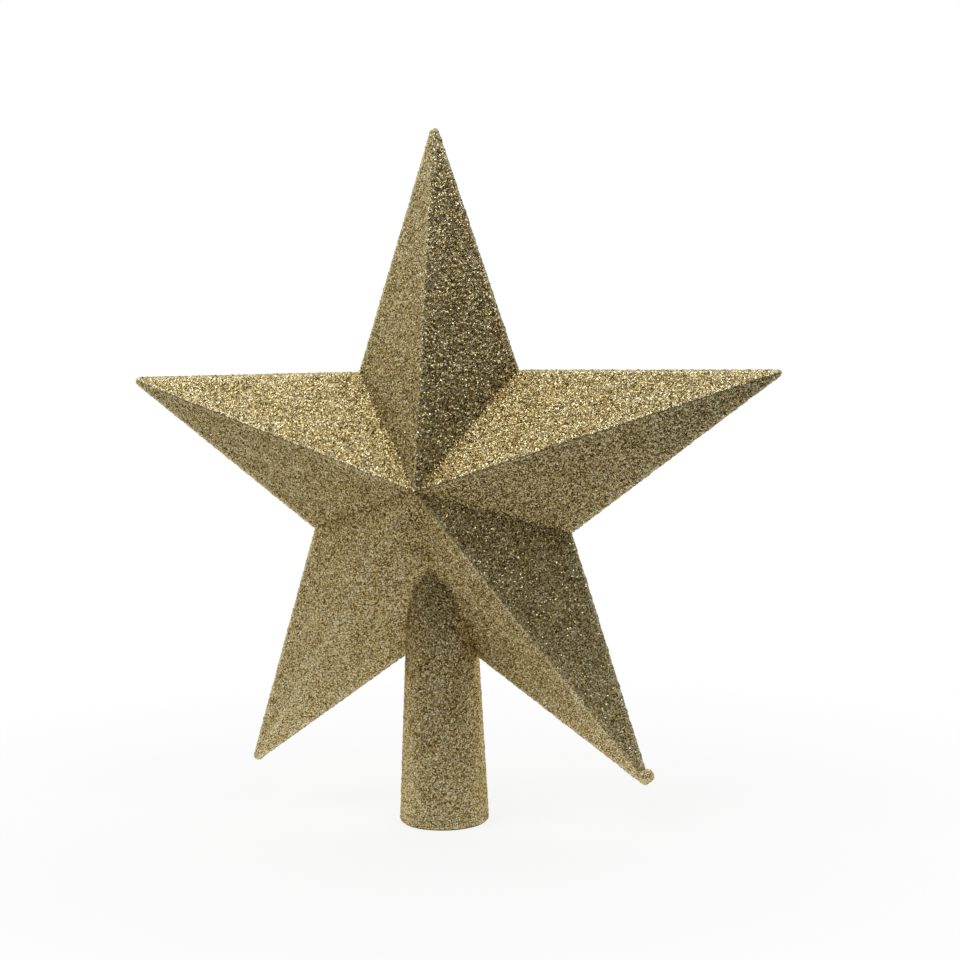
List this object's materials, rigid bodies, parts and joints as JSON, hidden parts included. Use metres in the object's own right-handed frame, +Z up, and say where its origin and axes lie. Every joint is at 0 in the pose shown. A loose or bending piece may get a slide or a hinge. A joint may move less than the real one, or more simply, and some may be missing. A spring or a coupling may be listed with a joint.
{
  "type": "tree topper star",
  "caption": "Faceted star for the top of a Christmas tree, coated in gold glitter, on a tapered socket tube.",
  "frame": {"origin": "centre of the socket tube's mouth, on the plane of its rim", "axes": "+Z up along the socket tube to the top tip, the star's front faces -Y, +X to its right"},
  "size_m": [0.187, 0.0394, 0.1912],
  "materials": {
    "shell_plastic": "moulded gold",
    "gold_glitter": "glitter flakes in clear lacquer"
  },
  "bodies": {
    "root": {"front_shell": "shell_plastic", "rear_shell": "shell_plastic", "socket_tube": "shell_plastic", "front_glitter_coat": "gold_glitter", "rear_glitter_coat": "gold_glitter", "tube_glitter_coat": "gold_glitter", "drip_bead": "gold_glitter"}
  },
  "joints": []
}
